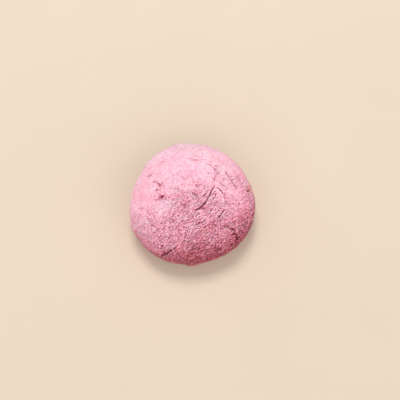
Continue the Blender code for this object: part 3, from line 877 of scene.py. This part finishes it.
def tone_of(places, points, torn, relief, coarse, painted_light, streaks, skirt):
    """How pale the pink is at each place, from 0 to 1.

    It goes from the pale back left to the deep pink front and side: partly flour and a deeper pink,
    partly painted light at the back and painted shade at the front and low side. Flour makes crests and
    lips paler, painted light makes what faces the light paler, and the borders of cracks and the rosy
    patches are deeper.
    """
    way = np.hypot(places[:, 0], places[:, 1])
    lean = places @ LEAN
    # Paler at the back, partly painted light; deeper at the front and low side, partly painted shade.
    tone = TONE + PALER_BACK * smooth_step(lean, *PALER_BACK_LEANS)
    tone -= DEEPER_FRONT * smooth_step(lean, *DEEPER_FRONT_LEANS)
    tone += TONE_UNEVEN * lumps(points, "tone")
    tone -= DEEPER_SIDE * smooth_step(way + DEEPER_SIDE_LEAN * lean, *DEEPER_SIDE_WAYS)
    tone += PAINTED_LIGHT_PALER * painted_light + TONE_STREAKS * streaks
    tone += TONE_COARSE_UNEVEN * coarse * lumps(points, "coarse tone")
    tone += PALER_LIPS * relief.lip + PALER_FLOUR * patches(torn, FLOURED)
    tone -= DEEPER_STAIN * relief.stain + DEEPER_ROSY * patches(torn, ROSY)
    tone -= DEEPER_SMOOTH * patches(torn, SMOOTH)
    # Painted warm bounce light makes the skirt paler.
    return tone + PAINTED_BOUNCE_SKIRT * skirt


def shape_crust(places, quads, cracks):
    """Lays the relief on the bun along its normals, and gives each point its tints.

    tone is how pale it is, hollow is painted shade, the more the lower in the grain, the brown tint is
    toasting, and on the skirt also painted warm bounce light, gap is dark red painted shade, the more
    the deeper in a crack, a pit or a tear, and coarse its coarseness.
    """
    points = on_bun(places)
    normals = bun_normals(places)
    wander = np.stack([lumps(points, "wander right"), lumps(points, "wander back")], axis=1)
    fine = np.stack([lumps(points, "fine wander right"), lumps(points, "fine wander back")], axis=1)
    torn = places + RAGGED * (wander + FINE_RAGGED * fine)  # cracks and patches have ragged edges

    strength = 1.0 + CRACK_UNEVEN * lumps(points, "crack strength")
    relief = Relief(torn, np.clip(strength, *CRACK_STRENGTH))
    for crack in cracks:
        relief.lay_crack(crack)
    for pit in PITS:
        relief.lay_pit(pit)

    coarse = coarseness(places, points)
    grains, tears = grain(points)
    streaks = lumps(points, "streaks")
    texture = UNEVEN_HEIGHT * lumps(points, "unevenness") + grains + LAYER_HEIGHT * tiled_layers(points)
    height = swell(points) + relief.height + coarse * texture
    height += STREAK_HEIGHT * streaks + RIPPLE_HEIGHT * ripples(places, points)
    height *= smooth_step(points[:, 2], *BASE_FADE)
    raised = points + normals * height[:, None]
    raised[:, 2] = np.maximum(raised[:, 2], 0.0)

    # Painted light: how much each point faces the light more than the plain bun does.
    painted_light = coarse * ((point_normals(raised, quads) - normals) @ PAINTED_LIGHT_WAY)
    way = np.hypot(places[:, 0], places[:, 1])
    # The skirt low on the side: toasting, and painted warm bounce light.
    skirt = smooth_step(way + SKIRT_WANDER * lumps(points, "skirt"), *SKIRT_WAYS)
    # Painted shade: the hollow tint darkens the low parts of the grain, and the smooth patches evenly.
    hollow = coarse * (HOLLOW_LEAST - HOLLOW_DEPTH * grains) + HOLLOW_SMOOTH * patches(torn, SMOOTH)
    tints = {
        "tone": np.clip(tone_of(places, points, torn, relief, coarse, painted_light, streaks, skirt), 0.0, 1.0),
        "hollow": np.clip(hollow, 0.0, 1.0),
        # Toasted patches, and on the skirt toasting with painted warm bounce light.
        "toast_and_bounce": np.clip(np.maximum(patches(torn, TOASTED), TOAST_AND_BOUNCE_SKIRT * skirt), 0.0, 1.0),
        # gap: painted shade in cracks, pits and tears.
        "gap": np.clip(np.maximum(relief.gap, TEAR_GAP * coarse**3 * tears), 0.0, 1.0),
        "coarse": coarse,
    }
    return Crust(raised, normals, tints)


def fitted(points):
    """Points scaled and moved so that their box is the solid's own box, in millimetres."""
    low, high = (np.array(corner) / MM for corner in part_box("mooncake"))
    own_low, own_high = points.min(axis=0), points.max(axis=0)
    return low + (points - own_low) * (high - low) / (own_high - own_low)


def put_in_mesh(name, points, faces, tints, material):
    """A piece with its points, given in millimetres, its faces and its tints as point attributes."""
    mesh = bpy.data.meshes.new(name)
    mesh.from_pydata(points * MM, [], faces)
    for tint, values in tints.items():
        attribute = mesh.attributes.new(tint, "FLOAT", "POINT")
        attribute.data.foreach_set("value", values.astype(np.float32))
    mesh.shade_smooth()
    mesh.materials.append(material)
    piece = bpy.data.objects.new(name, mesh)
    bpy.context.scene.collection.objects.link(piece)
    return piece


# Crumbs and scales on the crust


BITS_FLOOR = 3.0  # no crumb or scale lies lower, in millimetres
BITS_COARSE_POWER = 2  # they gather with this power of the coarseness
BITS_SHADED = 0.2  # share of its host's gap and hollow, both painted shade, that a bit takes on
CRUMBS = 1500
CRUMB_SEED = 61
CRUMB_SIZE = (0.13, 0.28)  # radius, in millimetres
CRUMB_SIZE_POWER = 2  # the higher, the more of them are small
CRUMB_BUMPS = (0.75, 1.2)  # how far each corner is drawn in or out
CRUMB_STRETCH = (0.6, 1.25)  # along each axis
CRUMB_STANDS = 0.25  # how far over the crust its middle stands, in radii
CRUMB_SHADES = (-0.05, 0.15)  # what is added to the tone
SCALES = 1200
SCALE_SEED = 62
SCALE_LENGTH = (0.8, 1.9)
SCALE_WIDTH = (0.35, 0.75)
SCALE_THICKNESS = 0.12
SCALE_CORNERS = 6
SCALE_RAGGED = (0.7, 1.15)
SCALE_TURN = 24.0  # standard deviation from the slant, in degrees
SCALE_TILT = (4.0, 20.0)  # degrees by which one long edge is lifted
SCALE_STANDS = 0.4  # how far over the crust its middle stands, in rises from edge to edge
SCALES_FACING_FRONT = 0.75  # share of them whose front edge is the lifted one
SCALE_LIT_PALER = (0.0, 0.15)  # painted light: what is added to the tone of those, which tilt towards the light ...
SCALE_UNLIT_DEEPER = -0.1  # ... and painted shade on the others


def turned_frames(draw, count):
    """Seeded frames of three axes at right angles, turned every way."""
    first = draw.normal(size=(count, 3))
    second = np.cross(first, draw.normal(size=(count, 3)))
    first /= np.linalg.norm(first, axis=1)[:, None]
    second /= np.linalg.norm(second, axis=1)[:, None]
    return np.stack([first, second, np.cross(first, second)], axis=1)


def crumb_form():
    """The corners and faces of a ball of twenty triangles."""
    ball = bmesh.new()
    bmesh.ops.create_icosphere(ball, subdivisions=1, radius=1.0)
    corners = np.array([vert.co[:] for vert in ball.verts])
    faces = np.array([[vert.index for vert in face.verts] for face in ball.faces])
    ball.free()
    return corners, faces


def strewn(crust, hosts, shapes, faces, shades):
    """The points, faces and tints of many closed bits, each laid at its host point of the crust.

    Each takes its host's tints, but little of the painted shade of its gap or hollow. shades is what is added
    to its tone.
    """
    count, corners = shapes.shape[:2]
    points = (crust.points[hosts][:, None] + shapes).reshape(-1, 3)
    numbers = (faces[None] + corners * np.arange(count)[:, None, None]).reshape(-1, 3)
    tints = {name: np.repeat(values[hosts], corners) for name, values in crust.tints.items()}
    tints["tone"] = np.clip(tints["tone"] + np.repeat(shades, corners), 0.0, 1.0)
    tints["gap"] *= BITS_SHADED
    tints["hollow"] *= BITS_SHADED
    return points, numbers, tints


def crumbs(crust, chance, draw):
    """Crumbs sunk a third into the crust: a ball's corners, each drawn in or out, flattened and turned."""
    hosts = draw.choice(len(chance), CRUMBS, p=chance / chance.sum())
    corners, faces = crumb_form()
    least, most = CRUMB_SIZE
    size = least + (most - least) * draw.uniform(size=CRUMBS) ** CRUMB_SIZE_POWER
    shapes = corners[None] * draw.uniform(*CRUMB_BUMPS, size=(CRUMBS, len(corners), 1))
    shapes = shapes * draw.uniform(*CRUMB_STRETCH, size=(CRUMBS, 1, 3)) * size[:, None, None]
    shapes = np.einsum("cki,cij->ckj", shapes, turned_frames(draw, CRUMBS))
    shapes += (crust.normals[hosts] * (CRUMB_STANDS * size)[:, None])[:, None]
    return strewn(crust, hosts, shapes, faces, draw.uniform(*CRUMB_SHADES, CRUMBS))


def scales(crust, chance, draw):
    """Thin scales of pastry, long near the slant, one long edge sunk in the crust and the other lifted.

    Each is a ragged oval rim with a point over and a point under its middle. Its long way is the slant
    laid on the crust and turned by a seeded angle, and its wide way is tilted up by another.
    """
    hosts = draw.choice(len(chance), SCALES, p=chance / chance.sum())
    up = crust.normals[hosts]
    long_way = np.cross(np.cross(up, ALONG), up)
    long_way /= np.linalg.norm(long_way, axis=1)[:, None]
    wide_way = np.cross(up, long_way)
    turn = np.radians(draw.normal(0.0, SCALE_TURN, SCALES))[:, None]
    long_way, wide_way = (
        long_way * np.cos(turn) + wide_way * np.sin(turn),
        wide_way * np.cos(turn) - long_way * np.sin(turn),
    )
    lifted = np.where(draw.uniform(size=SCALES) < SCALES_FACING_FRONT, -1.0, 1.0)
    tilt = (lifted * np.radians(draw.uniform(*SCALE_TILT, SCALES)))[:, None]
    wide_way, up = (
        wide_way * np.cos(tilt) + up * np.sin(tilt),
        up * np.cos(tilt) - wide_way * np.sin(tilt),
    )

    length = draw.uniform(*SCALE_LENGTH, SCALES)[:, None]
    width = draw.uniform(*SCALE_WIDTH, SCALES)[:, None]
    angle = math.tau * np.arange(SCALE_CORNERS) / SCALE_CORNERS
    ragged = draw.uniform(*SCALE_RAGGED, (SCALES, SCALE_CORNERS))
    middle = np.zeros((SCALES, 2))
    along = np.hstack([0.5 * length * ragged * np.cos(angle), middle])
    across = np.hstack([0.5 * width * ragged * np.sin(angle), middle])
    over = np.zeros((SCALES, SCALE_CORNERS + 2))
    over[:, -2:] = 0.5 * SCALE_THICKNESS, -0.5 * SCALE_THICKNESS
    frames = np.stack([long_way, wide_way, up], axis=1)
    shapes = np.einsum("cki,cij->ckj", np.stack([along, across, over], axis=2), frames)
    shapes += (crust.normals[hosts] * (SCALE_STANDS * width * np.abs(np.sin(tilt))))[:, None]

    rim = np.arange(SCALE_CORNERS)
    after = np.roll(rim, -1)
    top = np.full_like(rim, SCALE_CORNERS)
    bottom = np.full_like(rim, SCALE_CORNERS + 1)
    faces = np.vstack([np.stack([rim, after, top], axis=1), np.stack([after, rim, bottom], axis=1)])
    # Painted light: scales whose front edge is lifted tilt towards the light behind and are made paler, the
    # others deeper.
    shades = np.where(lifted < 0.0, draw.uniform(*SCALE_LIT_PALER, SCALES), SCALE_UNLIT_DEEPER)
    return strewn(crust, hosts, shapes, faces, shades)


# Materials


TONES = (  # from the deepest pink to the palest, with flour on it
    (0.34, 0.03, 0.045, 1.0),
    (0.62, 0.125, 0.175, 1.0),
    (0.87, 0.285, 0.37, 1.0),
    (0.96, 0.45, 0.56, 1.0),
    (0.97, 0.64, 0.75, 1.0),
)
HOLLOW_SHADE = (0.42, 0.19, 0.25, 1.0)  # painted shade: what a hollow of the grain leaves of its colour
# Toasted brown, also used for the painted warm bounce light on the skirt.
TOAST_AND_BOUNCE_BROWN = (0.74, 0.30, 0.23, 1.0)
# Dark red painted into cracks, pits and tears: painted shade, over the deeper red of the dough.
GAP_SHADE_RED = (0.20, 0.012, 0.028, 1.0)
GAP_EDGE = (0.1, 0.9, 0.0, 0.95)  # the gap tints between which the painted dark red shade grows, and its least and most
CRUST_ROUGHNESS = 0.92
CRUST_SHADER = {
    "Specular IOR Level": 0.06,
    "Subsurface Weight": 0.05,
    "Subsurface Radius": (1.0, 0.30, 0.36),
    "Subsurface Scale": 0.4 * MM,
    "Sheen Weight": 0.15,
    "Sheen Roughness": 0.5,
    "Sheen Tint": (1.0, 0.62, 0.72, 1.0),
}

# The finest grain, in the finish alone: sizes in millimetres
SPECK_SIZE = 0.42
SPECK_STRETCH = 2.0
SPECK_EDGE = (0.38, 0.62)  # the heights of its noise between which a speck rises
SPECK_SHARE = 0.9
WRINKLES_APART = 0.95
WRINKLE_STRETCH = 1.25
WRINKLE_BEND = 16.0
WRINKLE_DETAIL = {"Detail": 3.0, "Detail Scale": 0.8, "Detail Roughness": 0.65}
WRINKLE_SHARE = 1.25
WRINKLED_SIZE = 2.0  # of the patches where the wrinkles show
WRINKLED_STRETCH = 1.6
WRINKLED_EDGE = (0.40, 0.56, 0.1, 1.0)  # the heights between which they grow, their least and most
WAVE_TURN = 20.0  # radians that the wave texture turns through in one unit, at a scale of 1
MOTTLE_SIZE = 2.2
MOTTLE_DETAIL = 4.0
MOTTLE_TONE = 0.05  # what the mottle, the speckle and the coarseness add to the tone and the hollow
SPECKLE_TONE = 0.16
# The speckle's low parts and the coarseness deepen or lighten the painted shade of the hollows.
SPECKLE_HOLLOW = -2.1
COARSE_HOLLOW = -0.06
SPECKLE_BUMP = 0.8  # the speckle's and the powder's shares of the bump
POWDER_BUMP = 0.2
POWDER_SIZE = 0.2
BUMP_DEPTH = 0.40

FLOOR_ROUGHNESS = 0.8
FLOOR_SPECULAR = 0.2
FLOOR_COLOURS = ((0.64, 0.53, 0.415, 1.0), (0.67, 0.56, 0.445, 1.0))
FLOOR_MOTTLE = 60.0


class Finish:
    """A material's node tree, with short ways to add the nodes that the finishes use."""

    def __init__(self, name, roughness):
        self.material = bpy.data.materials.new(name)
        self.material.use_nodes = True
        self.tree = self.material.node_tree
        self.shader = self.tree.nodes["Principled BSDF"]
        self.shader.inputs["Roughness"].default_value = roughness
        self.place = self.tree.nodes.new("ShaderNodeTexCoord").outputs["Object"]

    def rolled_place(self, stretch):
        """The place with the part of it along the slant shortened, which draws a noise out along it."""
        node = self.tree.nodes.new("ShaderNodeMapping")
        node.vector_type = "TEXTURE"
        node.inputs["Rotation"].default_value = (0.0, 0.0, SLANT)
        node.inputs["Scale"].default_value = (stretch, 1.0, 1.0)
        self.tree.links.new(self.place, node.inputs["Vector"])
        return node.outputs[0]

    def feed(self, socket, value):
        """Links value to the socket where it is a socket itself, and sets it there otherwise."""
        if isinstance(value, bpy.types.NodeSocket):
            self.tree.links.new(value, socket)
        else:
            socket.default_value = value

    def tint(self, name):
        """The piece's own tint of that name."""
        node = self.tree.nodes.new("ShaderNodeAttribute")
        node.attribute_name = name
        return node.outputs["Fac"]

    def noise(self, size, detail=2.0, stretch=1.0):
        """Noise from 0 to 1 whose lumps are size across, in millimetres, and longer along the slant."""
        node = self.tree.nodes.new("ShaderNodeTexNoise")
        node.inputs["Scale"].default_value = 1.0 / (size * MM)
        node.inputs["Detail"].default_value = detail
        self.tree.links.new(self.rolled_place(stretch), node.inputs["Vector"])
        return node.outputs["Fac"]

    def wrinkles(self, size, stretch, bend):
        """Wavy ridges from 0 to 1 along the slant, size apart in millimetres, bent by a noise."""
        node = self.tree.nodes.new("ShaderNodeTexWave")
        node.bands_direction = "Y"
        node.inputs["Scale"].default_value = math.tau / (WAVE_TURN * size * MM)
        node.inputs["Distortion"].default_value = bend
        for name, value in WRINKLE_DETAIL.items():
            node.inputs[name].default_value = value
        self.tree.links.new(self.rolled_place(stretch), node.inputs["Vector"])
        return node.outputs["Fac"]

    def sum(self, first, first_share, second, second_share):
        """first times its share plus second times its share."""
        scaled = self.tree.nodes.new("ShaderNodeMath")
        scaled.operation = "MULTIPLY"
        self.feed(scaled.inputs[0], second)
        self.feed(scaled.inputs[1], second_share)
        both = self.tree.nodes.new("ShaderNodeMath")
        both.operation = "MULTIPLY_ADD"
        self.feed(both.inputs[0], first)
        self.feed(both.inputs[1], first_share)
        self.tree.links.new(scaled.outputs[0], both.inputs[2])
        return both.outputs[0]

    def times(self, first, second):
        """first multiplied by second."""
        return self.sum(first, second, 0.0, 0.0)

    def centred(self, value):
        """A value from 0 to 1 moved to lie round 0."""
        return self.sum(value, 1.0, 1.0, -0.5)

    def between(self, value, low, high, to_low=0.0, to_high=1.0):
        """value carried from low..high to to_low..to_high with an S-curve, and held there outside."""
        node = self.tree.nodes.new("ShaderNodeMapRange")
        node.interpolation_type = "SMOOTHSTEP"
        for socket, given in zip(node.inputs, (value, low, high, to_low, to_high)):
            self.feed(socket, given)
        return node.outputs[0]

    def ramp(self, value, colours):
        """The colour at value, from 0 to 1, on a ramp of evenly spaced colours."""
        node = self.tree.nodes.new("ShaderNodeValToRGB")
        stops = node.color_ramp.elements
        while len(stops) < len(colours):
            stops.new(1.0)
        for number, (stop, colour) in enumerate(zip(stops, colours)):
            stop.position = number / (len(colours) - 1)
            stop.color = colour
        self.tree.links.new(value, node.inputs["Fac"])
        return node.outputs["Color"]

    def shaded(self, under, colour, share):
        """A colour multiplied by another by a share."""
        return self.over(under, colour, share, "MULTIPLY")

    def over(self, under, colour, share, blend="MIX"):
        """colour laid over another by a share."""
        node = self.tree.nodes.new("ShaderNodeMix")
        node.data_type = "RGBA"
        node.blend_type = blend
        for number, given in ((0, share), (6, under), (7, colour)):
            self.feed(node.inputs[number], given)
        return node.outputs[2]

    def bump(self, height, depth, strength):
        """Fine relief from a height of 0 to 1, depth millimetres deep."""
        node = self.tree.nodes.new("ShaderNodeBump")
        node.inputs["Strength"].default_value = strength
        node.inputs["Distance"].default_value = depth * MM
        self.tree.links.new(height, node.inputs["Height"])
        self.tree.links.new(node.outputs[0], self.shader.inputs["Normal"])


def crust_finish():
    """Dry pink pastry: flour on what stands up, a deeper pink low down that is partly painted shade,
    painted shade in the hollows of the grain, and dark red painted shade in the cracks.

    Specks and wrinkles of the finest grain make the tone paler and the painted shade of the hollows
    lighter where they stand up, the more the coarser the crust is, and they are its bump.
    """
    finish = Finish("powdery_pink_crust", CRUST_ROUGHNESS)
    coarse = finish.tint("coarse")
    specks = finish.between(finish.noise(SPECK_SIZE, 1.0, SPECK_STRETCH), *SPECK_EDGE)
    wrinkles = finish.wrinkles(WRINKLES_APART, WRINKLE_STRETCH, WRINKLE_BEND)
    wrinkled = finish.between(finish.noise(WRINKLED_SIZE, 1.0, WRINKLED_STRETCH), *WRINKLED_EDGE)
    ridges = finish.times(finish.centred(wrinkles), wrinkled)
    fine_grain = finish.sum(finish.centred(specks), SPECK_SHARE, ridges, WRINKLE_SHARE)
    speckle = finish.times(fine_grain, coarse)

    mottle = finish.centred(finish.noise(MOTTLE_SIZE, MOTTLE_DETAIL))
    tone = finish.sum(finish.tint("tone"), 1.0, mottle, MOTTLE_TONE)
    tone = finish.sum(tone, 1.0, speckle, SPECKLE_TONE)
    hollow = finish.sum(finish.tint("hollow"), 1.0, speckle, SPECKLE_HOLLOW)
    hollow = finish.sum(hollow, 1.0, coarse, COARSE_HOLLOW)
    colour = finish.ramp(tone, TONES)
    # Painted shade in the hollows of the grain.
    colour = finish.shaded(colour, HOLLOW_SHADE, finish.between(hollow, 0.0, 1.0))
    # Toasted brown, and on the skirt painted warm bounce light.
    colour = finish.over(colour, TOAST_AND_BOUNCE_BROWN, finish.tint("toast_and_bounce"))
    # Dark red painted shade in the cracks, pits and tears.
    colour = finish.over(colour, GAP_SHADE_RED, finish.between(finish.tint("gap"), *GAP_EDGE))
    finish.feed(finish.shader.inputs["Base Color"], colour)
    for name, value in CRUST_SHADER.items():
        finish.shader.inputs[name].default_value = value
    powder = finish.noise(POWDER_SIZE, 1.0)
    finish.bump(finish.sum(speckle, SPECKLE_BUMP, powder, POWDER_BUMP), BUMP_DEPTH, 1.0)
    return finish.material


def floor_finish():
    """Plain pale floor, very slightly mottled."""
    finish = Finish("pale_floor", FLOOR_ROUGHNESS)
    shade = finish.over(*FLOOR_COLOURS, finish.noise(FLOOR_MOTTLE, 2.0))
    finish.feed(finish.shader.inputs["Base Color"], shade)
    finish.shader.inputs["Specular IOR Level"].default_value = FLOOR_SPECULAR
    return finish.material


# The scene


CAMERA_TILT = 68.0  # degrees below the horizon that the camera looks
CAMERA_LENS = 60.0
CAMERA_DISTANCE = 375.4  # from its target
CAMERA_TARGET = (4.45, 1.6, 15.0)
FLOOR_HALF = 3.0  # half the floor's side, in metres
# The window's bearing (0 is +X, 90 is +Y), elevation, distance, width, power and colour, in metres
WINDOW = (100.0, 73.0, 1.2, 0.40, 7.9, (1.0, 0.99, 0.97))
# The bearings that the room's light comes from, and how strong it is from each
ROOM_LIGHT = ((-76.0, 1.98), (180.0, 0.92), (0.0, 0.76), (90.0, 0.30))
ROOM_COLOUR = (0.98, 0.98, 1.0, 1.0)


def set_camera():
    """The camera looks down on the cake from the front, at the photograph's angle."""
    tilt = math.radians(CAMERA_TILT)
    back = np.array([0.0, -math.cos(tilt), math.sin(tilt)])
    camera = bpy.data.objects.new("camera", bpy.data.cameras.new("camera"))
    camera.data.lens = CAMERA_LENS
    camera.location = (np.array(CAMERA_TARGET) + CAMERA_DISTANCE * back) * MM
    camera.rotation_euler = (math.pi / 2 - tilt, 0.0, 0.0)
    bpy.context.scene.collection.objects.link(camera)
    bpy.context.scene.camera = camera


def set_light(name, bearing, elevation, distance, width, power, colour):
    """A square soft light at a bearing and elevation in degrees, turned to the cake."""
    around, up = math.radians(bearing), math.radians(elevation)
    light = bpy.data.lights.new(name, "AREA")
    light.size = width
    light.energy = power
    light.color = colour
    lamp = bpy.data.objects.new(name, light)
    lamp.location = (
        distance * math.cos(up) * math.cos(around),
        distance * math.cos(up) * math.sin(around),
        distance * math.sin(up),
    )
    lamp.rotation_euler = (0.0, math.pi / 2 - up, around)
    bpy.context.scene.collection.objects.link(lamp)


def set_room():
    """The room's own light: the sum over its bearings of a strength times the cosine of the angle
    from the bearing, and nothing from past a right angle."""
    room = bpy.data.worlds.new("room")
    room.use_nodes = True
    tree = room.node_tree
    background = tree.nodes["Background"]
    background.inputs["Color"].default_value = ROOM_COLOUR
    way = tree.nodes.new("ShaderNodeTexCoord").outputs["Generated"]
    total = None
    for bearing, strength in ROOM_LIGHT:
        around = math.radians(bearing)
        cosine = tree.nodes.new("ShaderNodeVectorMath")
        cosine.operation = "DOT_PRODUCT"
        cosine.inputs[1].default_value = (math.cos(around), math.sin(around), 0.0)
        tree.links.new(way, cosine.inputs[0])
        share = tree.nodes.new("ShaderNodeMapRange")
        share.inputs["To Max"].default_value = strength
        tree.links.new(cosine.outputs["Value"], share.inputs["Value"])
        both = tree.nodes.new("ShaderNodeMath")
        both.operation = "ADD"
        both.inputs[1].default_value = 0.0
        tree.links.new(share.outputs[0], both.inputs[0])
        if total is not None:
            tree.links.new(total, both.inputs[1])
        total = both.outputs[0]
    tree.links.new(total, background.inputs["Strength"])
    bpy.context.scene.world = room


def set_stage():
    """The floor, the soft light of a window high up and a little behind, and the room's own light."""
    corners = [(x * FLOOR_HALF, y * FLOOR_HALF, 0.0) for x, y in ((-1, -1), (1, -1), (1, 1), (-1, 1))]
    floor_mesh = bpy.data.meshes.new("floor")
    floor_mesh.from_pydata(corners, [], [(0, 1, 2, 3)])
    floor_mesh.materials.append(floor_finish())
    floor = bpy.data.objects.new("floor", floor_mesh)
    bpy.context.scene.collection.objects.link(floor)
    set_light("window", *WINDOW)
    set_room()
    bpy.context.scene.view_settings.view_transform = "Standard"


def build_cake():
    """The crust in the solid's place, and on it the crumbs and scales, the more the coarser it is."""
    cracks = CRACKS + tuple(side_cracks())
    places, quads, fan = net()
    places = drawn_in(places, cracks)
    crust = shape_crust(places, quads, cracks + tuple(flake_edges()))
    crust = crust._replace(points=fitted(crust.points))
    finish = crust_finish()
    skin = put_in_mesh("crust", crust.points, quads.tolist() + fan.tolist(), crust.tints, finish)
    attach(skin, "root")
    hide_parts("mooncake")
    bare = crust.tints["coarse"] * (crust.points[:, 2] > BITS_FLOOR)
    areas = np.linalg.norm(face_areas(crust.points, quads), axis=1)
    chance = point_sums(areas, quads, len(places)) * bare**BITS_COARSE_POWER
    for name, make, seed in (("crumbs", crumbs, CRUMB_SEED), ("scales", scales, SCALE_SEED)):
        points, faces, tints = make(crust, chance, np.random.RandomState(seed))
        bits = put_in_mesh(name, points, faces.tolist(), tints, finish)
        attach(bits, "root")


build_cake()
set_stage()
set_camera()
